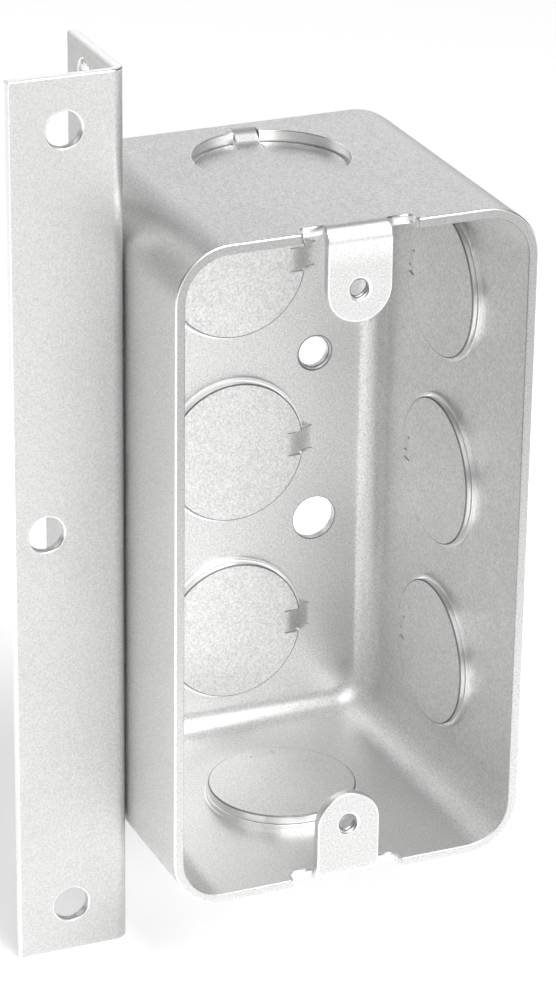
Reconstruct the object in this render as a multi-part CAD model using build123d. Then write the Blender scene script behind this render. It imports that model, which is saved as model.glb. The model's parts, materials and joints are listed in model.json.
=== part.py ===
from build123d import *
from math import cos, radians, sin
import os

# Drawn steel outlet box with a stud bracket spot-welded to its left wall.
# X runs across the box, Y runs into it from the plane of the open rim, Z runs up its length.
# The origin is midway between the two cover-ear holes, on the plane of the rim.

# Drawn box: one sheet, open at the front
box_width = 54.8
box_length = 101.6
box_depth = 50.8
sheet = 1.5
corner_radius = 8.0
back_radius = 5.5

# Cover ears: folded in from the two end walls, tapped for the cover screws
ear_spacing = 83.34
ear_width = 9.8
ear_hole_diameter = 3.5
ear_bend_radius = 2.3
ear_relief_width = 3.5
ear_relief_corner = 0.8

# Knockouts: sheared discs pushed inward, each left hanging on one bent tab
knockout_diameter = 22.4
knockout_clearance = 0.2
knockout_lip_width = 0.4
knockout_lip_height = 0.55
knockout_collar_width = 0.15
knockout_collar_cover = 0.2
tab_width = 3.5
tab_start = 8.6
tab_end = 13.4
end_tab_lean = 4.0
knockout_pitch = 30.0
back_row_x = 1.6
back_row_z = -2.2
back_push = 1.8
side_row_y = 25.8
side_push = 1.4
top_knockout_setback = 19.4
top_push = 1.7
bottom_knockout_y = 24.6
bottom_push = 2.5

# Holes in the back wall
ground_hole_diameter = 4.8
ground_hole_x = 15.3
ground_hole_z = 11.5
ground_sink = 0.4
wall_hole_diameter = 7.0
wall_hole_x = 15.6
wall_hole_z = -16.0

# Stud bracket: an angle folded from strip, its rear leg welded to the left wall
bracket_sheet = 1.5
bracket_setback = 17.7
bracket_reach = 17.3
bracket_top = 71.2
bracket_bottom = -64.3
bracket_bend_radius = 2.2
leg_depth = 19.4
weld_flap_depth = 30.5
weld_flap_height = 92.0
weld_flap_chamfer = 9.0
nail_hole_diameter = 5.3
nail_hole_reach = 9.2
nail_hole_inset = 7.65
nail_hole_middle_reach = 12.4
nail_hole_middle_z = 3.7
leg_hole_diameter = 4.8
leg_hole_depth = 12.7
leg_hole_inset = 4.8


def block(x0, x1, y0, y1, z0, z1):
    return Pos((x0 + x1) / 2, (y0 + y1) / 2, (z0 + z1) / 2) * Box(x1 - x0, y1 - y0, z1 - z0)


def drawn_cup(width, length, depth, corner, back):
    # Sketch plane faces +Y, so the cup grows from the rim plane towards the back
    rim = Plane(origin=(0, 0, 0), x_dir=(1, 0, 0), z_dir=(0, 1, 0))
    cup = extrude(rim * RectangleRounded(width, length, corner), depth)
    return fillet(cup.edges().group_by(Axis.Y)[-1], back)


def knockout_frame(x, y, z, inward, toward_tab):
    # Local z leaves the outside face of the wall inward, local x points at the tab
    return Plane(origin=(x, y, z), x_dir=toward_tab, z_dir=inward)


def upright(radius, low, high):
    return Pos(0, 0, (low + high) / 2) * Cylinder(radius, high - low)


def s_bend(start, end, drop, height):
    # Two arcs that leave the disc level and meet the wall level, tangent where they join
    middle = ((start + end) / 2, height + drop / 2)
    leaving = TangentArc((start, height + drop), middle, tangent=(1, 0))
    meeting = TangentArc((end, height), middle, tangent=(-1, 0))
    return leaving + meeting


def add_knockout(body, frame, push):
    disc_radius = knockout_diameter / 2
    hole_radius = disc_radius + knockout_clearance
    # A low lip stands round the hole, and a thin collar reaches past the hidden face of the disc
    collar_top = max(push, sheet) + knockout_collar_cover
    lip = upright(hole_radius + knockout_lip_width, sheet / 2, sheet + knockout_lip_height)
    collar = upright(hole_radius + knockout_collar_width, sheet / 2, collar_top)
    hole = upright(hole_radius, -1, collar_top + 1)
    slot_half = tab_width / 2 + knockout_clearance
    slot = block(tab_start, tab_end, -slot_half, slot_half, -1, sheet + push + 1)
    disc = upright(disc_radius, push, push + sheet) - slot
    bite = 0.4
    disc_end = Polyline(
        (tab_start, push),
        (tab_start - bite, push),
        (tab_start - bite, push + sheet),
        (tab_start, push + sheet),
    )
    wall_end = Polyline(
        (tab_end, sheet),
        (tab_end + bite, sheet),
        (tab_end + bite, 0),
        (tab_end, 0),
    )
    hidden_side = s_bend(tab_start, tab_end, push, 0)
    open_side = s_bend(tab_start, tab_end, push, sheet)
    tab_outline = disc_end + open_side + wall_end + hidden_side
    tab = extrude(Plane.XZ * make_face(tab_outline), tab_width / 2, both=True)
    body = body + frame * (lip + collar) - frame * hole - frame * slot
    return body + frame * (disc + tab)


def make_drawn_box():
    half_x = box_width / 2
    half_z = box_length / 2
    body = drawn_cup(box_width, box_length, box_depth, corner_radius, back_radius)
    body -= drawn_cup(
        box_width - 2 * sheet,
        box_length - 2 * sheet,
        box_depth - sheet,
        corner_radius - sheet,
        back_radius - sheet,
    )

    # Relief on both sides of each ear, where the rim is set back to the start of the fold
    relief_half = ear_width / 2 + ear_relief_width
    mouth = RectangleRounded(2 * relief_half, 2 * ear_bend_radius, ear_relief_corner)
    for side in (1, -1):
        cut = extrude(Pos(0, 0, side * half_z) * mouth, 2 * sheet, both=True)
        body -= cut
    rim_corners = body.edges().filter_by(Axis.Z).filter_by(
        lambda e: abs(e.center().Y) < 0.01 and abs(abs(e.center().X) - relief_half) < 0.01
    )
    body = fillet(rim_corners, ear_relief_corner)

    # Ears: quarter bend out of the end wall, then a flat tongue with a round end
    inner_bend = ear_bend_radius - sheet
    tongue_z = ear_spacing / 2
    for side in (1, -1):
        bend_z = side * (half_z - ear_bend_radius)
        bend = Cylinder(ear_bend_radius, ear_width) - Cylinder(inner_bend, ear_width)
        bend = Pos(0, ear_bend_radius, bend_z) * Rot(0, 90, 0) * bend
        corner = block(
            -ear_width / 2,
            ear_width / 2,
            0,
            ear_bend_radius,
            *sorted((bend_z, side * half_z)),
        )
        tongue = block(
            -ear_width / 2,
            ear_width / 2,
            0,
            sheet,
            *sorted((side * tongue_z, bend_z)),
        )
        tip = Pos(0, sheet / 2, side * tongue_z) * Rot(90, 0, 0) * Cylinder(ear_width / 2, sheet)
        screw = Pos(0, sheet / 2, side * tongue_z) * Rot(90, 0, 0) * Cylinder(ear_hole_diameter / 2, 3 * sheet)
        body += (bend & corner) + tongue + tip - screw

    # Knockouts in the back, the right wall and both ends
    for row in (1, 0, -1):
        back = knockout_frame(
            back_row_x, box_depth, back_row_z + row * knockout_pitch, (0, -1, 0), (1, 0, 0)
        )
        body = add_knockout(body, back, back_push)
        side = knockout_frame(half_x, side_row_y, row * knockout_pitch, (-1, 0, 0), (0, 1, 0))
        body = add_knockout(body, side, side_push)
    end_tab = (sin(radians(end_tab_lean)), cos(radians(end_tab_lean)), 0)
    top_y = box_depth - top_knockout_setback
    top = knockout_frame(0, top_y, half_z, (0, 0, -1), end_tab)
    body = add_knockout(body, top, top_push)
    bottom = knockout_frame(0, bottom_knockout_y, -half_z, (0, 0, 1), end_tab)
    body = add_knockout(body, bottom, bottom_push)

    # Tapped ground hole with a small sink on the inside, and the larger wall-screw hole
    inside_back = box_depth - sheet
    for x, z, diameter in (
        (ground_hole_x, ground_hole_z, ground_hole_diameter),
        (wall_hole_x, wall_hole_z, wall_hole_diameter),
    ):
        body -= Pos(x, box_depth, z) * Rot(90, 0, 0) * Cylinder(diameter / 2, 4 * sheet)
    sink = Cone(ground_hole_diameter / 2 + ground_sink, ground_hole_diameter / 2, ground_sink)
    body -= Pos(ground_hole_x, inside_back + ground_sink / 2, ground_hole_z) * Rot(-90, 0, 0) * sink
    return body


def make_stud_bracket():
    wall_x = -box_width / 2
    front_y = bracket_setback
    bend_x = wall_x - bracket_bend_radius
    bend_y = front_y + bracket_bend_radius
    height = bracket_top - bracket_bottom
    middle = (bracket_top + bracket_bottom) / 2

    front_leg = block(
        wall_x - bracket_reach, bend_x, front_y, front_y + bracket_sheet, bracket_bottom, bracket_top
    )
    rear_leg = block(
        wall_x - bracket_sheet, wall_x, bend_y, front_y + leg_depth, bracket_bottom, bracket_top
    )
    bend = Cylinder(bracket_bend_radius, height) - Cylinder(bracket_bend_radius - bracket_sheet, height)
    bend = Pos(bend_x, bend_y, middle) * bend
    corner = block(bend_x, wall_x, front_y, bend_y, bracket_bottom, bracket_top)

    # Weld flap: the rear leg is deeper where it lies along the box
    leg_y = front_y + leg_depth
    flap_y = front_y + weld_flap_depth
    half = weld_flap_height / 2
    flap_outline = Polyline(
        (leg_y - 1, -half),
        (leg_y, -half),
        (flap_y, -half + weld_flap_chamfer),
        (flap_y, half - weld_flap_chamfer),
        (leg_y, half),
        (leg_y - 1, half),
        close=True,
    )
    flap = extrude(Plane.YZ * make_face(flap_outline), bracket_sheet)
    flap = Pos(wall_x - bracket_sheet, 0, 0) * flap
    body = front_leg + (bend & corner) + rear_leg + flap

    # Nail holes through the front leg, and one near each end of the rear leg
    for reach, z in (
        (nail_hole_reach, bracket_top - nail_hole_inset),
        (nail_hole_reach, bracket_bottom + nail_hole_inset),
        (nail_hole_middle_reach, nail_hole_middle_z),
    ):
        hole = Cylinder(nail_hole_diameter / 2, 4 * bracket_sheet)
        body -= Pos(wall_x - reach, front_y, z) * Rot(90, 0, 0) * hole
    for z in (bracket_top - leg_hole_inset, bracket_bottom + leg_hole_inset):
        hole = Cylinder(leg_hole_diameter / 2, 4 * bracket_sheet)
        body -= Pos(wall_x, front_y + leg_hole_depth, z) * Rot(0, 90, 0) * hole
    return body


os.makedirs("parts", exist_ok=True)
export_step(make_drawn_box(), "parts/drawn_box.step")
export_step(make_stud_bracket(), "parts/stud_bracket.step")
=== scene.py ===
import json
import math

import bmesh
import bpy
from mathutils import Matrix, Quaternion, Vector


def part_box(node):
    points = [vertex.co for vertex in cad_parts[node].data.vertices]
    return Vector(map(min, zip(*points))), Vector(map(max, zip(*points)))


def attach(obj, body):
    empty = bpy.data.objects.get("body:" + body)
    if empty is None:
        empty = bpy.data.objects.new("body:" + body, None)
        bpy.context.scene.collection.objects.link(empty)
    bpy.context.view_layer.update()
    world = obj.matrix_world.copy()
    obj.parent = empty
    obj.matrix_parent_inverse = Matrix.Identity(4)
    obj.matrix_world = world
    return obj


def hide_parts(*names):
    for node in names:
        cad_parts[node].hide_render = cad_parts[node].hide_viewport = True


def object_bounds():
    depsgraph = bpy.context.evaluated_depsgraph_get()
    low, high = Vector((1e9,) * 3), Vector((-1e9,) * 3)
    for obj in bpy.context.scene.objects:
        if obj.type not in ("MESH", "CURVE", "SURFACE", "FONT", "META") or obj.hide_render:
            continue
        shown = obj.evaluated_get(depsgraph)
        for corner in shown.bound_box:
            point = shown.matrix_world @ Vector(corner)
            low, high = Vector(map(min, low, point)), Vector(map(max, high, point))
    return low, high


bl_info = {
    "name": "Outlet box with stud bracket",
    "version": (1, 0, 0),
    "blender": (4, 5, 0),
    "location": "3D View > Sidebar > Outlet box",
    "description": "Dresses the outlet box and its stud bracket: rounding, threads, welds and finish",
    "category": "Object",
}

# All lengths are in metres, in the frame of the solids
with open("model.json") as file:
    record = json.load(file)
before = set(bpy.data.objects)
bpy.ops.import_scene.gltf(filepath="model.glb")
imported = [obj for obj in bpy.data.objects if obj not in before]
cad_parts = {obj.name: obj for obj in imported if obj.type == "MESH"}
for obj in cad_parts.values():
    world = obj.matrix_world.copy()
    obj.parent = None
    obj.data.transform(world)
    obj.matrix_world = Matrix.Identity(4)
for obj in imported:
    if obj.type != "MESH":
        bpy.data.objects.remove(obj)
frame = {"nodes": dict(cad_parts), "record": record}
CAD_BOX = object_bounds()
WALL_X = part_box("drawn_box")[0].x
MOUNTS = {mount["name"]: mount for mount in frame["record"]["mounts"]}
SCREW_HEIGHT = MOUNTS["cover_screws"]["dims"]["spacing_y_mm"] / 2000
SCREW_RADIUS = MOUNTS["cover_screws"]["dims"]["hole_r_mm"] / 1000
KNOCKOUT_RADIUS = MOUNTS["top_knockout"]["dims"]["r_mm"] / 1000

# Sheet, knockouts and ground hole as in the solids, and the depths between which a disc's edges lie
SHEET = 0.0015
KNOCKOUT_PITCH = 0.03
KNOCKOUT_CLEARANCE = 0.0002
DISC_SHALLOWEST = 0.9 * SHEET
DISC_DEEPEST = 3 * SHEET
GROUND_SINK = 0.0004

# Rim and ears: how far they reach, where the painted reflection that pales the rim's cut face downwards
# begins and ends, where the ears' bare metal changes, and the margin round a screw hole
RIM_DEPTH = 0.0028
RIM_FACE_DEPTH = 0.0002
RIM_REFLECTION_PAINTED_FROM = 0.035
RIM_REFLECTION_PAINTED_FULL_AT = -0.05
EAR_REACH = 0.0062
EAR_BEND_END = 0.0482
EAR_WORN_FROM = 0.0445
SCREW_MARGIN = 0.0003

# Threads and welds
THREAD_BITE = 0.00003
THREAD_SLAB_REACH = 1.3
WELD_HEIGHT = 0.00012
WELD_CUSHION = 0.4
WELD_SHADE = 0.8

# Zinc: how the unevenness of the grain shows in the roughness and in the relief
ROUGHNESS_SPREAD = 0.6
CLOUD_RELIEF = 0.5
GRAIN_RELIEF = 0.00005

# Limits for merging, for finding edges and flat faces, and for telling thin sheared faces
MERGE_GAP = 1e-6
EDGE_TOLERANCE = 0.00005
FLAT_ANGLE = math.radians(0.5)
SHARP_ANGLE = math.radians(30)
PLANE_GAP = 2e-7
PLANE_COSINE = 0.999999
SIDE_COSINE = 0.1
FACE_COSINE = 0.99
THIN_BORDER = 0.3
THIN_WIDTH = 0.6 * SHEET

# What the Weighted Normal modifier reads as a strong face
STRONG_FACE = 16384

# Material slots of a rounded piece
OWN_FINISH = 0
SHEARED_FINISH = 1
# Slot for dark torn metal, which round the discs also paints the shade of the gap between disc and wall
TORN_AND_PAINTED_SHADE_FINISH = 2

# Floor, and the camera that was fitted to the photograph
FLOOR_REACH = 12.0
CAMERA_PLACE = (-0.2196477, -0.4777045, 0.2436714)
CAMERA_TURN = (0.8221326, 0.5325855, -0.1143970, -0.1654205)


class EdgeSettings(bpy.types.PropertyGroup):
    """How far each kind of edge is rounded."""

    rim: bpy.props.FloatProperty(
        name="Rim",
        description="Rounding of the open rim and the ears",
        default=0.00025,
        unit="LENGTH",
        precision=5,
    )
    disc: bpy.props.FloatProperty(
        name="Knockouts",
        description="Rounding of the discs and of the outer edges of their holes",
        default=0.0002,
        unit="LENGTH",
        precision=5,
    )
    hole: bpy.props.FloatProperty(
        name="Back holes",
        description="Rounding of the two small holes in the back",
        default=0.00012,
        unit="LENGTH",
        precision=5,
    )
    fine: bpy.props.FloatProperty(
        name="Sheared edges",
        description="Rounding of the tabs, the lips and the cover-screw holes",
        default=0.00006,
        unit="LENGTH",
        precision=5,
    )
    bracket: bpy.props.FloatProperty(
        name="Bracket",
        description="Rounding of the bracket's outline and holes",
        default=0.00025,
        unit="LENGTH",
        precision=5,
    )


class SteelSettings(bpy.types.PropertyGroup):
    """Colours and grain of the galvanised sheet."""

    wall_colour: bpy.props.FloatVectorProperty(
        name="Box walls",
        description="Zinc on the drawn walls",
        default=(0.83, 0.83, 0.825),
        subtype="COLOR",
        size=3,
        min=0,
        max=1,
    )
    bracket_colour: bpy.props.FloatVectorProperty(
        name="Bracket",
        description="Zinc on the bracket's strip",
        default=(0.67, 0.67, 0.664),
        subtype="COLOR",
        size=3,
        min=0,
        max=1,
    )
    bright_colour: bpy.props.FloatVectorProperty(
        name="Worn edges",
        description="Bright metal on rounded and sheared edges",
        default=(0.94, 0.94, 0.935),
        subtype="COLOR",
        size=3,
        min=0,
        max=1,
    )
    rim_colour: bpy.props.FloatVectorProperty(
        name="Rim",
        description="Bare cut face of the rim at its upper end",
        default=(0.44, 0.44, 0.436),
        subtype="COLOR",
        size=3,
        min=0,
        max=1,
    )
    # Paler lower end of the rim's cut face: a painted reflection of the bright floor, not a colour of
    # the metal
    rim_low_painted_reflection: bpy.props.FloatVectorProperty(
        name="Lower rim",
        description="Bare cut face of the rim at its lower end",
        default=(0.7, 0.7, 0.695),
        subtype="COLOR",
        size=3,
        min=0,
        max=1,
    )
    # Dark torn metal of the sheared edges, darkened further to paint the shade in the gaps round the
    # discs
    torn_and_painted_shade_colour: bpy.props.FloatVectorProperty(
        name="Torn edges",
        description="Dull torn metal round the discs and the back holes",
        default=(0.3, 0.3, 0.298),
        subtype="COLOR",
        size=3,
        min=0,
        max=1,
    )
    ear_wear: bpy.props.FloatProperty(
        name="Ear wear",
        description="Share of the rim's colour on the flat of the ears",
        default=0.35,
        subtype="FACTOR",
        min=0,
        max=1,
    )
    roughness: bpy.props.FloatProperty(
        name="Roughness",
        description="Mean roughness of the zinc",
        default=0.48,
        subtype="FACTOR",
        min=0,
        max=1,
    )
    grain: bpy.props.FloatProperty(
        name="Grain size",
        description="Size of the fine zinc grain",
        default=0.00028,
        unit="LENGTH",
        precision=5,
    )


class ThreadSettings(bpy.types.PropertyGroup):
    """Thread of the two cover screws."""

    pitch: bpy.props.FloatProperty(
        name="Pitch",
        description="Rise of the thread in one turn",
        default=0.000794,
        unit="LENGTH",
        precision=6,
    )
    tooth: bpy.props.FloatProperty(
        name="Tooth",
        description="Height of the thread's tooth",
        default=0.00044,
        unit="LENGTH",
        precision=6,
    )


class WeldSettings(bpy.types.PropertyGroup):
    """Spot welds between the bracket and the box."""

    diameter: bpy.props.FloatProperty(
        name="Diameter",
        description="Diameter of a weld mark",
        default=0.0046,
        unit="LENGTH",
        precision=5,
    )
    pitch: bpy.props.FloatProperty(
        name="Pitch",
        description="Distance from weld to weld",
        default=0.027,
        unit="LENGTH",
        precision=5,
    )
    depth: bpy.props.FloatProperty(
        name="Depth",
        description="How far the welds lie behind the rim",
        default=0.036,
        unit="LENGTH",
        precision=5,
    )


class StageSettings(bpy.types.PropertyGroup):
    """Floor, light and camera."""

    floor_colour: bpy.props.FloatVectorProperty(
        name="Floor",
        description="Colour of the floor",
        default=(0.93, 0.93, 0.93),
        subtype="COLOR",
        size=3,
        min=0,
        max=1,
    )
    floor_glow: bpy.props.FloatProperty(
        name="Floor glow",
        description="White that the floor adds in view and in reflections",
        default=0.45,
        min=0,
        max=1,
    )
    key: bpy.props.FloatProperty(
        name="Key light",
        description="Power of the softbox above the mouth",
        default=2.3,
        unit="POWER",
    )
    fill: bpy.props.FloatProperty(
        name="Fill light",
        description="Power of the softbox in front",
        default=2.9,
        unit="POWER",
    )
    back: bpy.props.FloatProperty(
        name="Back light",
        description="Power of the softbox behind on the right",
        default=1.1,
        unit="POWER",
    )
    side: bpy.props.FloatProperty(
        name="Side light",
        description="Power of the softbox behind on the left",
        default=1.7,
        unit="POWER",
    )
    lens: bpy.props.FloatProperty(
        name="Lens",
        description="Focal length of the camera",
        default=147.27,
        unit="CAMERA",
    )


class OutletBoxSettings(bpy.types.PropertyGroup):
    """All settings of the outlet box."""

    edges: bpy.props.PointerProperty(type=EdgeSettings)
    steel: bpy.props.PointerProperty(type=SteelSettings)
    thread: bpy.props.PointerProperty(type=ThreadSettings)
    weld: bpy.props.PointerProperty(type=WeldSettings)
    stage: bpy.props.PointerProperty(type=StageSettings)


def settings():
    return bpy.context.scene.outlet_box


def linked_object(name, data):
    """A new object in the scene, for a mesh, a lamp or a camera."""
    made = bpy.data.objects.new(name, data)
    bpy.context.scene.collection.objects.link(made)
    return made


def settle(piece):
    """Turns a piece and its modifiers into a plain mesh."""
    graph = bpy.context.evaluated_depsgraph_get()
    made = bpy.data.meshes.new_from_object(
        piece.evaluated_get(graph), preserve_all_data_layers=True, depsgraph=graph
    )
    draft = piece.data
    piece.modifiers.clear()
    piece.data = made
    bpy.data.meshes.remove(draft)
    made.name = piece.name


def link(tree, source, target):
    tree.links.new(source, target)


def node(tree, kind, **values):
    made = tree.nodes.new(kind)
    for name, value in values.items():
        setattr(made, name, value)
    return made


def math_node(tree, operation, first, second=0.0):
    made = node(tree, "ShaderNodeMath", operation=operation)
    for socket, value in zip(made.inputs, (first, second)):
        if isinstance(value, (int, float)):
            socket.default_value = value
        else:
            link(tree, value, socket)
    return made.outputs[0]


def zinc_grain_group():
    """Fine zinc grain, broad clouds and draw marks: a tone to multiply by, a roughness and a height."""
    name = "Zinc grain"
    if name in bpy.data.node_groups:
        return bpy.data.node_groups[name]
    tree = bpy.data.node_groups.new(name, "ShaderNodeTree")
    for label, default in (
        ("Grain Size", 0.0003),
        ("Grain Contrast", 0.1),
        ("Cloud Contrast", 0.06),
        ("Draw Marks", 0.04),
        ("Mean Roughness", 0.4),
    ):
        socket = tree.interface.new_socket(label, in_out="INPUT", socket_type="NodeSocketFloat")
        socket.default_value = default
    tree.interface.new_socket("Tone", in_out="OUTPUT", socket_type="NodeSocketColor")
    tree.interface.new_socket("Roughness", in_out="OUTPUT", socket_type="NodeSocketFloat")
    tree.interface.new_socket("Height", in_out="OUTPUT", socket_type="NodeSocketFloat")
    given = node(tree, "NodeGroupInput").outputs
    result = node(tree, "NodeGroupOutput").inputs
    place = node(tree, "ShaderNodeTexCoord").outputs["Object"]

    speckle = node(tree, "ShaderNodeTexNoise")
    link(tree, place, speckle.inputs["Vector"])
    link(tree, math_node(tree, "DIVIDE", 1.0, given["Grain Size"]), speckle.inputs["Scale"])
    speckle.inputs["Detail"].default_value = 2.0
    speckle.inputs["Roughness"].default_value = 0.65
    cloud = node(tree, "ShaderNodeTexNoise")
    link(tree, place, cloud.inputs["Vector"])
    cloud.inputs["Scale"].default_value = 70.0
    cloud.inputs["Detail"].default_value = 3.0
    along = node(tree, "ShaderNodeMapping")
    along.inputs["Scale"].default_value = (1500.0, 40.0, 1500.0)
    link(tree, place, along.inputs["Vector"])
    marks = node(tree, "ShaderNodeTexNoise")
    link(tree, along.outputs[0], marks.inputs["Vector"])
    marks.inputs["Scale"].default_value = 1.0
    marks.inputs["Detail"].default_value = 2.0

    def centred(noise, contrast):
        level = math_node(tree, "SUBTRACT", noise.outputs["Fac"], 0.5)
        return math_node(tree, "MULTIPLY", level, contrast)

    grain = centred(speckle, given["Grain Contrast"])
    clouds = centred(cloud, given["Cloud Contrast"])
    drawn = centred(marks, given["Draw Marks"])
    uneven = math_node(tree, "ADD", math_node(tree, "ADD", grain, clouds), drawn)
    shine = math_node(tree, "MULTIPLY", uneven, ROUGHNESS_SPREAD)
    swell = math_node(tree, "MULTIPLY", cloud.outputs["Fac"], CLOUD_RELIEF)
    link(tree, math_node(tree, "ADD", uneven, 1.0), result["Tone"])
    link(tree, math_node(tree, "SUBTRACT", given["Mean Roughness"], shine), result["Roughness"])
    link(tree, math_node(tree, "ADD", speckle.outputs["Fac"], swell), result["Height"])
    return tree


def mix_colour(tree, blend, factor, first, second):
    """A blend of two colours, each a socket or a plain colour."""
    made = node(tree, "ShaderNodeMix", data_type="RGBA", blend_type=blend)
    sockets = {(socket.name, socket.type): socket for socket in made.inputs}
    for socket, value in (
        (sockets["Factor", "VALUE"], factor),
        (sockets["A", "RGBA"], first),
        (sockets["B", "RGBA"], second),
    ):
        if isinstance(value, bpy.types.NodeSocket):
            link(tree, value, socket)
        elif isinstance(value, float):
            socket.default_value = value
        else:
            socket.default_value = (*value, 1.0)
    return {socket.type: socket for socket in made.outputs}["RGBA"]


def ramp_between(tree, value, start, end):
    """A soft rise from 0 where the value is at the start to 1 where it is at the end."""
    made = node(tree, "ShaderNodeMapRange", interpolation_type="SMOOTHSTEP")
    made.inputs["From Min"].default_value = start
    made.inputs["From Max"].default_value = end
    link(tree, value, made.inputs["Value"])
    return made.outputs["Result"]


def cut_face_colour(tree, zinc_colour):
    """Zinc with the rim's bare cut face, made paler towards its lower end by a painted reflection, and
    the rubbed flat of the ears.
    """
    steel = settings().steel
    place = node(tree, "ShaderNodeSeparateXYZ")
    link(tree, node(tree, "ShaderNodeTexCoord").outputs["Object"], place.inputs[0])
    front = math_node(tree, "LESS_THAN", place.outputs["Y"], settings().edges.rim)
    aside = math_node(tree, "GREATER_THAN", math_node(tree, "ABSOLUTE", place.outputs["X"]), EAR_REACH)
    # Painted reflection: the rim's cut face grows paler towards its lower end
    lower = ramp_between(tree, place.outputs["Z"], RIM_REFLECTION_PAINTED_FROM, RIM_REFLECTION_PAINTED_FULL_AT)
    rim = mix_colour(tree, "MIX", lower, steel.rim_colour, steel.rim_low_painted_reflection)
    rubbed = ramp_between(tree, place.outputs["Z"], EAR_BEND_END, EAR_WORN_FROM)
    worn = math_node(tree, "MULTIPLY", rubbed, steel.ear_wear)
    ear = mix_colour(tree, "MIX", worn, zinc_colour, steel.rim_colour)
    bare = mix_colour(tree, "MIX", aside, ear, rim)
    return mix_colour(tree, "MIX", front, zinc_colour, bare)


def zinc_material(name, colour, roughness, contrast, bump, cut_face=False):
    """Galvanised steel in one colour, or with the bare metal of the rim and the ears as well, and the
    painted reflection on the rim's lower end.
    """
    material = bpy.data.materials.new(name)
    material.use_nodes = True
    tree = material.node_tree
    shader = tree.nodes["Principled BSDF"]
    shader.inputs["Metallic"].default_value = 1.0
    zinc = node(tree, "ShaderNodeGroup", node_tree=zinc_grain_group())
    zinc.inputs["Grain Size"].default_value = settings().steel.grain
    zinc.inputs["Grain Contrast"].default_value = contrast
    zinc.inputs["Mean Roughness"].default_value = roughness
    base = cut_face_colour(tree, colour) if cut_face else colour
    shaded = mix_colour(tree, "MULTIPLY", 1.0, base, zinc.outputs["Tone"])
    link(tree, shaded, shader.inputs["Base Color"])
    link(tree, zinc.outputs["Roughness"], shader.inputs["Roughness"])
    relief = node(tree, "ShaderNodeBump")
    relief.inputs["Strength"].default_value = bump
    relief.inputs["Distance"].default_value = GRAIN_RELIEF
    link(tree, zinc.outputs["Height"], relief.inputs["Height"])
    link(tree, relief.outputs["Normal"], shader.inputs["Normal"])
    return material


def edge_material():
    """Bright sheared metal, shared by the pieces."""
    name = "Sheared edge"
    if name in bpy.data.materials:
        return bpy.data.materials[name]
    return zinc_material(name, settings().steel.bright_colour, roughness=0.32, contrast=0.25, bump=0.1)


def mark_edges(draft, width_at, widest):
    """Weights each outer edge by its share of the widest rounding, and marks the thin sheared faces."""
    weight = draft.edges.layers.float.new("bevel_weight_edge")
    for edge in draft.edges:
        edge.smooth = edge.calc_face_angle(0) < SHARP_ANGLE
        if edge.is_convex and not edge.smooth:
            edge[weight] = width_at((edge.verts[0].co + edge.verts[1].co) / 2) / widest
            edge.smooth = True
    for face in draft.faces:
        face.smooth = True
        around = face.calc_perimeter()
        rounded = sum(edge.calc_length() for edge in face.edges if edge[weight])
        thin = rounded > THIN_BORDER * around and face.calc_area() < THIN_WIDTH * around
        behind_rim = face.calc_center_median().y > RIM_FACE_DEPTH
        face.material_index = SHEARED_FINISH if thin and behind_rim else OWN_FINISH


def rounded_copy(cad_node, name, width_at, widest):
    """A merged copy of a CAD node with its outer edges rounded, each by what width_at gives."""
    draft = bmesh.new()
    draft.from_mesh(frame["nodes"][cad_node].data)
    bmesh.ops.remove_doubles(draft, verts=draft.verts, dist=MERGE_GAP)
    bmesh.ops.dissolve_limit(draft, angle_limit=FLAT_ANGLE, verts=draft.verts, edges=draft.edges)
    mark_edges(draft, width_at, widest)
    mesh = bpy.data.meshes.new(name)
    draft.to_mesh(mesh)
    draft.free()
    stale = mesh.attributes.get("custom_normal")
    if stale:
        mesh.attributes.remove(stale)
    for _ in (OWN_FINISH, SHEARED_FINISH):
        mesh.materials.append(None)
    piece = linked_object(name, mesh)
    bevel = piece.modifiers.new("Rounded edges", "BEVEL")
    bevel.limit_method = "WEIGHT"
    bevel.width = widest
    bevel.segments = 3
    bevel.use_clamp_overlap = False
    bevel.material = SHEARED_FINISH
    bevel.loop_slide = False
    settle(piece)
    refill_flats(piece.data)
    even = piece.modifiers.new("Flat faces", "WEIGHTED_NORMAL")
    even.keep_sharp = True
    even.use_face_influence = True
    return piece


def flat_regions(draft):
    """Lists of neighbouring faces in one plane, where at least one has more than four corners."""
    seen = set()
    regions = []
    for start in draft.faces:
        if start in seen:
            continue
        seen.add(start)
        region = [start]
        for face in region:
            for edge in face.edges:
                for near in edge.link_faces:
                    if near in seen or abs(near.normal.dot(start.normal)) < PLANE_COSINE:
                        continue
                    step = near.calc_center_median() - start.verts[0].co
                    if abs(step.dot(start.normal)) < PLANE_GAP:
                        seen.add(near)
                        region.append(near)
        if max(len(face.verts) for face in region) > 4:
            regions.append(region)
    return regions


def refill_flats(mesh):
    """Fills each flat face anew, inside its outline and round its holes."""
    draft = bmesh.new()
    draft.from_mesh(mesh)
    strength = draft.faces.layers.int.new("__mod_weightednormals_faceweight")
    for region in flat_regions(draft):
        inside = set(region)
        normal = sum((face.normal * face.calc_area() for face in region), Vector()).normalized()
        finish = max(region, key=lambda face: face.calc_area()).material_index
        sides = [edge for face in region for edge in face.edges]
        outline = [edge for edge in sides if sum(near in inside for near in edge.link_faces) == 1]
        bmesh.ops.delete(draft, geom=region, context="FACES_KEEP_BOUNDARY")
        made = bmesh.ops.triangle_fill(draft, use_beauty=True, edges=outline, normal=normal)
        for face in made["geom"]:
            if isinstance(face, bmesh.types.BMFace):
                face.smooth = True
                face.material_index = finish
                face[strength] = STRONG_FACE
                if face.normal.dot(normal) < 0:
                    face.normal_flip()
    draft.to_mesh(mesh)
    draft.free()


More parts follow.
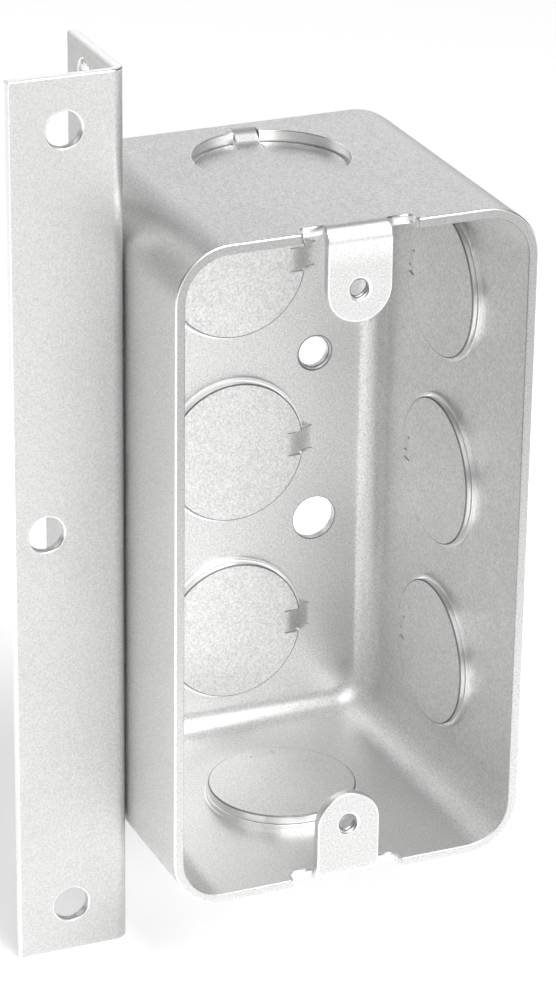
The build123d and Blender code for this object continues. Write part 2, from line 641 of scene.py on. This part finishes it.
def dress(piece, materials, slot, *nodes):
    """Gives a piece its materials, settles it and ties it to the frame, in place of any nodes named."""
    for index, material in enumerate(materials):
        piece.data.materials[index] = material
    settle(piece)
    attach(piece, "root")
    if nodes:
        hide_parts(*nodes)


def knockout_axes():
    """A point on the outside face and the outward direction of each knockout."""
    row = (-KNOCKOUT_PITCH, 0.0, KNOCKOUT_PITCH)
    axes = []
    for name, heights in (
        ("top_knockout", (0.0,)),
        ("bottom_knockout", (0.0,)),
        ("side_knockouts", row),
        ("back_knockouts", row),
    ):
        mount = MOUNTS[name]
        for height in heights:
            centre = Vector(mount["pos_m"]) + Vector((0.0, 0.0, height))
            axes.append((centre, Vector(mount["axis"])))
    return axes


def knockout_place(place, axis):
    """How deep a point lies behind the outside face of a knockout, and how far from its axis."""
    centre, outward = axis
    depth = (centre - place).dot(outward)
    return depth, (place + depth * outward - centre).length


def disc_at(place, axes, width):
    """The axis of the knockout whose disc ends within a width of a point, or None."""
    for axis in axes:
        depth, reach = knockout_place(place, axis)
        in_disc = DISC_SHALLOWEST < depth < DISC_DEEPEST
        if in_disc and abs(reach - KNOCKOUT_RADIUS + KNOCKOUT_CLEARANCE) < width:
            return axis
    return None


def on_hole_edge(place, axes, width):
    """True within a width of the outer edge of a knockout's hole."""
    for axis in axes:
        depth, reach = knockout_place(place, axis)
        if abs(depth) < width and abs(reach - KNOCKOUT_RADIUS) < width:
            return True
    return False


def on_back_hole(place, width):
    """True within a width of an edge of the ground hole, its sink or the wall hole."""
    for name, sink in (("ground_screw", GROUND_SINK), ("wall_screw", 0.0)):
        mount = MOUNTS[name]
        hole_x, hole_y, hole_z = mount["pos_m"]
        reach = math.hypot(place.x - hole_x, place.z - hole_z)
        radius = mount["dims"]["r_mm"] / 1000
        if min(abs(reach - radius), abs(reach - radius - sink)) < width:
            return place.y > hole_y - 2 * SHEET
    return False


def box_edge_width(place, axes):
    """How far the box is rounded at a point of an edge."""
    edges = settings().edges
    at_screw = math.hypot(place.x, abs(place.z) - SCREW_HEIGHT) < SCREW_RADIUS + SCREW_MARGIN
    if place.y < RIM_DEPTH and not at_screw:
        return edges.rim
    if on_back_hole(place, EDGE_TOLERANCE):
        return edges.hole
    if disc_at(place, axes, EDGE_TOLERANCE) or on_hole_edge(place, axes, EDGE_TOLERANCE):
        return edges.disc
    return edges.fine


def box_edge_finish(face, axes):
    """The finish of a rounded or sheared face: dark torn metal round discs and back holes, which round
    the discs also paints the shade of the gap, plain inside the rim.
    """
    edges = settings().edges
    place, normal = face.center, face.normal
    axis = disc_at(place, axes, edges.disc)
    if axis and abs(normal.dot(axis[1])) > SIDE_COSINE:
        return TORN_AND_PAINTED_SHADE_FINISH
    if on_back_hole(place, edges.hole) and SIDE_COSINE < abs(normal.y) < FACE_COSINE:
        return TORN_AND_PAINTED_SHADE_FINISH
    inward = place.x * normal.x + place.z * normal.z < 0
    if place.y < edges.rim and inward and abs(place.x) > EAR_REACH:
        return OWN_FINISH
    return SHEARED_FINISH


class OUTLETBOX_OT_drawn_box(bpy.types.Operator):
    """Make the drawn box with rounded edges and its zinc finish"""

    bl_idname = "outlet_box.drawn_box"
    bl_label = "Drawn box"

    def execute(self, context):
        steel = settings().steel
        axes = knockout_axes()
        widest = settings().edges.rim
        piece = rounded_copy("drawn_box", "box_shell", lambda place: box_edge_width(place, axes), widest)
        piece.data.materials.append(None)
        for face in piece.data.polygons:
            if face.material_index == SHEARED_FINISH:
                face.material_index = box_edge_finish(face, axes)
        walls = zinc_material(
            "Drawn zinc wall", steel.wall_colour, steel.roughness, contrast=0.8, bump=0.25, cut_face=True
        )
        # Dark torn metal that also paints the shade of the gaps round the discs
        torn = zinc_material("Torn edge", steel.torn_and_painted_shade_colour, roughness=0.5, contrast=0.25, bump=0.1)
        dress(piece, (walls, edge_material(), torn), "box_steel", "drawn_box")
        return {"FINISHED"}


class OUTLETBOX_OT_stud_bracket(bpy.types.Operator):
    """Make the folded stud bracket with rounded edges and its zinc finish"""

    bl_idname = "outlet_box.stud_bracket"
    bl_label = "Stud bracket"

    def execute(self, context):
        steel = settings().steel
        width = settings().edges.bracket
        piece = rounded_copy("stud_bracket", "bracket_strip", lambda place: width, width)
        strip = zinc_material(
            "Rolled zinc strip", steel.bracket_colour, steel.roughness, contrast=0.55, bump=0.2
        )
        dress(piece, (strip, edge_material()), "bracket_steel", "stud_bracket")
        return {"FINISHED"}


def geometry_tree(name, *inputs):
    """A tree that takes points, lengths and a material. Returns it, what it is given and its result."""
    tree = bpy.data.node_groups.new(name, "GeometryNodeTree")
    tree.interface.new_socket("Geometry", in_out="INPUT", socket_type="NodeSocketGeometry")
    for label in inputs:
        socket = tree.interface.new_socket(label, in_out="INPUT", socket_type="NodeSocketFloat")
        socket.subtype = "DISTANCE"
    tree.interface.new_socket("Material", in_out="INPUT", socket_type="NodeSocketMaterial")
    tree.interface.new_socket("Geometry", in_out="OUTPUT", socket_type="NodeSocketGeometry")
    given = node(tree, "NodeGroupInput").outputs
    result = node(tree, "NodeGroupOutput").inputs["Geometry"]
    return tree, given, result


def repeat_on_points(tree, given, result, shape, turn):
    """Ends a tree: the shape, turned, on every given point, as one real mesh with its material."""
    spread = node(tree, "GeometryNodeInstanceOnPoints")
    link(tree, given["Geometry"], spread.inputs["Points"])
    link(tree, shape, spread.inputs["Instance"])
    spread.inputs["Rotation"].default_value = turn
    real = node(tree, "GeometryNodeRealizeInstances")
    link(tree, spread.outputs["Instances"], real.inputs["Geometry"])
    finish = node(tree, "GeometryNodeSetMaterial")
    link(tree, real.outputs["Geometry"], finish.inputs["Geometry"])
    link(tree, given["Material"], finish.inputs["Material"])
    link(tree, finish.outputs["Geometry"], result)


def grow(name, places, tree, **values):
    """A piece grown by a tree from points. The values are named as the tree's inputs are."""
    points = bpy.data.meshes.new(name)
    points.from_pydata(places, [], [])
    piece = linked_object(name, points)
    growth = piece.modifiers.new(tree.name, "NODES")
    growth.node_group = tree
    for socket in tree.interface.items_tree:
        if socket.in_out == "INPUT" and socket.name != "Geometry":
            growth[socket.identifier] = values[socket.name.lower().replace(" ", "_")]
    return piece


def thread_tree():
    """A thread ridge on the wall of a hole, cut flush with both faces of the sheet."""
    tree, given, result = geometry_tree("Tapped thread", "Root Radius", "Tooth", "Pitch", "Sheet")
    run = math_node(tree, "ADD", given["Sheet"], math_node(tree, "MULTIPLY", given["Pitch"], 2.0))
    # The tooth is a triangle: its root lies a third of its height from its middle, its tip two thirds
    third = math_node(tree, "DIVIDE", given["Tooth"], 3.0)
    radius = math_node(tree, "SUBTRACT", given["Root Radius"], third)
    helix = node(tree, "GeometryNodeCurveSpiral")
    helix.inputs["Resolution"].default_value = 40
    link(tree, math_node(tree, "DIVIDE", run, given["Pitch"]), helix.inputs["Rotations"])
    link(tree, radius, helix.inputs["Start Radius"])
    link(tree, radius, helix.inputs["End Radius"])
    link(tree, run, helix.inputs["Height"])
    upright = node(tree, "GeometryNodeSetCurveNormal", mode="Z_UP")
    link(tree, helix.outputs["Curve"], upright.inputs["Curve"])
    tooth = node(tree, "GeometryNodeCurvePrimitiveCircle")
    tooth.inputs["Resolution"].default_value = 3
    link(tree, math_node(tree, "MULTIPLY", third, 2.0), tooth.inputs["Radius"])
    ridge = node(tree, "GeometryNodeCurveToMesh")
    link(tree, upright.outputs["Curve"], ridge.inputs["Curve"])
    link(tree, tooth.outputs["Curve"], ridge.inputs["Profile Curve"])
    ridge.inputs["Fill Caps"].default_value = True
    start = node(tree, "ShaderNodeCombineXYZ")
    link(tree, math_node(tree, "MULTIPLY", given["Pitch"], -1.0), start.inputs["Z"])
    sunk = node(tree, "GeometryNodeTransform")
    link(tree, ridge.outputs["Mesh"], sunk.inputs["Geometry"])
    link(tree, start.outputs["Vector"], sunk.inputs["Translation"])
    slab = node(tree, "GeometryNodeMeshCylinder")
    slab.inputs["Vertices"].default_value = 48
    reach = math_node(tree, "MULTIPLY", given["Root Radius"], THREAD_SLAB_REACH)
    link(tree, reach, slab.inputs["Radius"])
    link(tree, given["Sheet"], slab.inputs["Depth"])
    half = node(tree, "ShaderNodeCombineXYZ")
    link(tree, math_node(tree, "MULTIPLY", given["Sheet"], 0.5), half.inputs["Z"])
    level = node(tree, "GeometryNodeTransform")
    link(tree, slab.outputs["Mesh"], level.inputs["Geometry"])
    link(tree, half.outputs["Vector"], level.inputs["Translation"])
    cut = node(tree, "GeometryNodeMeshBoolean", operation="INTERSECT")
    link(tree, sunk.outputs["Geometry"], cut.inputs["Mesh 2"])
    link(tree, level.outputs["Geometry"], cut.inputs["Mesh 2"])
    repeat_on_points(tree, given, result, cut.outputs["Mesh"], (math.radians(-90), 0.0, 0.0))
    return tree


def weld_tree():
    """A spot weld: a low raised ring round a shallow cushion."""
    tree, given, result = geometry_tree("Spot weld", "Diameter", "Height")
    radius = math_node(tree, "MULTIPLY", given["Diameter"], 0.5)
    path = node(tree, "GeometryNodeCurvePrimitiveCircle")
    path.inputs["Resolution"].default_value = 40
    link(tree, radius, path.inputs["Radius"])
    bead = node(tree, "GeometryNodeCurvePrimitiveCircle")
    bead.inputs["Resolution"].default_value = 12
    link(tree, given["Height"], bead.inputs["Radius"])
    ring = node(tree, "GeometryNodeCurveToMesh")
    link(tree, path.outputs["Curve"], ring.inputs["Curve"])
    link(tree, bead.outputs["Curve"], ring.inputs["Profile Curve"])
    ball = node(tree, "GeometryNodeMeshUVSphere")
    ball.inputs["Segments"].default_value = 40
    ball.inputs["Rings"].default_value = 10
    link(tree, radius, ball.inputs["Radius"])
    low = node(tree, "ShaderNodeCombineXYZ")
    low.inputs["X"].default_value = 1.0
    low.inputs["Y"].default_value = 1.0
    rise = math_node(tree, "MULTIPLY", given["Height"], WELD_CUSHION)
    link(tree, math_node(tree, "DIVIDE", rise, radius), low.inputs["Z"])
    cushion = node(tree, "GeometryNodeTransform")
    link(tree, ball.outputs["Mesh"], cushion.inputs["Geometry"])
    link(tree, low.outputs["Vector"], cushion.inputs["Scale"])
    both = node(tree, "GeometryNodeJoinGeometry")
    link(tree, ring.outputs["Mesh"], both.inputs["Geometry"])
    link(tree, cushion.outputs["Geometry"], both.inputs["Geometry"])
    smooth = node(tree, "GeometryNodeSetShadeSmooth")
    link(tree, both.outputs["Geometry"], smooth.inputs["Geometry"])
    repeat_on_points(tree, given, result, smooth.outputs["Geometry"], (0.0, math.radians(90), 0.0))
    return tree


class OUTLETBOX_OT_threads(bpy.types.Operator):
    """Make the threads in the two cover ears"""

    bl_idname = "outlet_box.threads"
    bl_label = "Threads"

    def execute(self, context):
        thread = settings().thread
        piece = grow(
            "cover_threads",
            [(0.0, 0.0, SCREW_HEIGHT), (0.0, 0.0, -SCREW_HEIGHT)],
            thread_tree(),
            root_radius=SCREW_RADIUS + THREAD_BITE,
            tooth=thread.tooth,
            pitch=thread.pitch,
            sheet=SHEET,
            material=edge_material(),
        )
        dress(piece, (), "box_steel")
        return {"FINISHED"}


class OUTLETBOX_OT_welds(bpy.types.Operator):
    """Make the spot-weld marks on the weld flap and inside the left wall"""

    bl_idname = "outlet_box.welds"
    bl_label = "Spot welds"

    def execute(self, context):
        weld = settings().weld
        shade = [WELD_SHADE * part for part in settings().steel.wall_colour]
        scale = zinc_material("Weld scale", shade, roughness=0.5, contrast=0.2, bump=0.3)
        for name, face, slot in (
            ("welds_flap", WALL_X - SHEET, "bracket_steel"),
            ("welds_wall", WALL_X + SHEET, "box_steel"),
        ):
            places = [(face, weld.depth, row * weld.pitch) for row in (-1, 0, 1)]
            piece = grow(
                name, places, weld_tree(), diameter=weld.diameter, height=WELD_HEIGHT, material=scale
            )
            dress(piece, (), slot)
        return {"FINISHED"}


def studio_world():
    """A dim room, a little brighter overhead."""
    world = bpy.data.worlds.new("Studio room")
    world.use_nodes = True
    tree = world.node_tree
    direction = node(tree, "ShaderNodeSeparateXYZ")
    link(tree, node(tree, "ShaderNodeTexCoord").outputs["Generated"], direction.inputs[0])
    ramp = node(tree, "ShaderNodeValToRGB")
    stops = ((0.0, 0.05), (0.5, 0.05), (0.62, 0.05), (0.75, 0.12), (1.0, 0.12))
    elements = ramp.color_ramp.elements
    while len(elements) < len(stops):
        elements.new(0.5)
    for element, (position, grey) in zip(elements, stops):
        element.position = position
        element.color = (grey, grey, grey, 1.0)
    lifted = math_node(tree, "MULTIPLY", direction.outputs["Z"], 0.5)
    link(tree, math_node(tree, "ADD", lifted, 0.5), ramp.inputs["Fac"])
    link(tree, ramp.outputs["Color"], tree.nodes["Background"].inputs["Color"])
    return world


def softbox(name, place, size, power):
    """A soft lamp that faces the origin."""
    lamp = bpy.data.lights.new(name, "AREA")
    lamp.shape = "RECTANGLE"
    lamp.size, lamp.size_y = size
    lamp.energy = power
    stand = linked_object(name, lamp)
    stand.location = place
    stand.rotation_mode = "QUATERNION"
    stand.rotation_quaternion = (-Vector(place)).to_track_quat("-Z", "Y")


def floor_paper(look):
    """Pale paper that adds some white of its own in view and in reflections."""
    paper = bpy.data.materials.new("Floor paper")
    paper.use_nodes = True
    tree = paper.node_tree
    shader = tree.nodes["Principled BSDF"]
    shader.inputs["Base Color"].default_value = (*look.floor_colour, 1.0)
    shader.inputs["Roughness"].default_value = 0.9
    shader.inputs["Specular IOR Level"].default_value = 0.1
    shader.inputs["Emission Color"].default_value = (1.0, 1.0, 1.0, 1.0)
    path = node(tree, "ShaderNodeLightPath").outputs
    mirrored = math_node(tree, "MAXIMUM", path["Is Glossy Ray"], path["Is Transmission Ray"])
    seen = math_node(tree, "MAXIMUM", path["Is Camera Ray"], mirrored)
    link(tree, math_node(tree, "MULTIPLY", seen, look.floor_glow), shader.inputs["Emission Strength"])
    return paper


def studio_floor(look):
    """A wide floor under the bracket's lower end."""
    low, reach = CAD_BOX[0].z, FLOOR_REACH
    corners = [(-reach, -reach, low), (reach, -reach, low), (reach, reach, low), (-reach, reach, low)]
    mesh = bpy.data.meshes.new("floor")
    mesh.from_pydata(corners, [], [(0, 1, 2, 3)])
    mesh.materials.append(floor_paper(look))
    return linked_object("floor", mesh)


def photo_camera(look):
    """The camera at the photograph's place and angle."""
    lens = bpy.data.cameras.new("photo_view")
    lens.lens = look.lens
    lens.sensor_width = 36.0
    lens.clip_start = 0.01
    camera = linked_object("photo_view", lens)
    camera.location = CAMERA_PLACE
    camera.rotation_mode = "QUATERNION"
    camera.rotation_quaternion = Quaternion(CAMERA_TURN)
    return camera


class OUTLETBOX_OT_stage(bpy.types.Operator):
    """Make the floor, the lights and the camera"""

    bl_idname = "outlet_box.stage"
    bl_label = "Stage"

    def execute(self, context):
        look = settings().stage
        scene = context.scene
        floor = studio_floor(look)
        scene.world = studio_world()
        for name, place, size, power in (
            ("key_softbox", (0.08, -0.22, 0.42), (0.3, 0.3), look.key),
            ("front_softbox", (0.1, -0.75, 0.5), (0.9, 0.5), look.fill),
            ("back_softbox", (0.37, 0.87, 0.36), (0.7, 0.4), look.back),
            ("side_softbox", (-0.5, 0.75, 0.5), (0.7, 0.5), look.side),
        ):
            softbox(name, place, size, power)
        scene.camera = photo_camera(look)
        scene.view_settings.view_transform = "Standard"
        return {"FINISHED"}


class OUTLETBOX_PT_panel(bpy.types.Panel):
    """Settings and steps of the outlet box"""

    bl_label = "Outlet box"
    bl_idname = "OUTLETBOX_PT_panel"
    bl_space_type = "VIEW_3D"
    bl_region_type = "UI"
    bl_category = "Outlet box"

    def draw(self, context):
        chosen = settings()
        for group in (chosen.edges, chosen.steel, chosen.thread, chosen.weld, chosen.stage):
            column = self.layout.column()
            for name in group.__annotations__:
                column.prop(group, name)
        for step in STEPS:
            self.layout.operator(step.bl_idname)


STEPS = (
    OUTLETBOX_OT_drawn_box,
    OUTLETBOX_OT_stud_bracket,
    OUTLETBOX_OT_threads,
    OUTLETBOX_OT_welds,
    OUTLETBOX_OT_stage,
)
CLASSES = (
    EdgeSettings,
    SteelSettings,
    ThreadSettings,
    WeldSettings,
    StageSettings,
    OutletBoxSettings,
    *STEPS,
    OUTLETBOX_PT_panel,
)


def register():
    for kind in CLASSES:
        bpy.utils.register_class(kind)
    bpy.types.Scene.outlet_box = bpy.props.PointerProperty(type=OutletBoxSettings)


def unregister():
    del bpy.types.Scene.outlet_box
    for kind in reversed(CLASSES):
        bpy.utils.unregister_class(kind)


def main():
    register()
    bpy.ops.outlet_box.drawn_box()
    bpy.ops.outlet_box.stud_bracket()
    bpy.ops.outlet_box.threads()
    bpy.ops.outlet_box.welds()
    bpy.ops.outlet_box.stage()


if __name__ == "__main__":
    main()
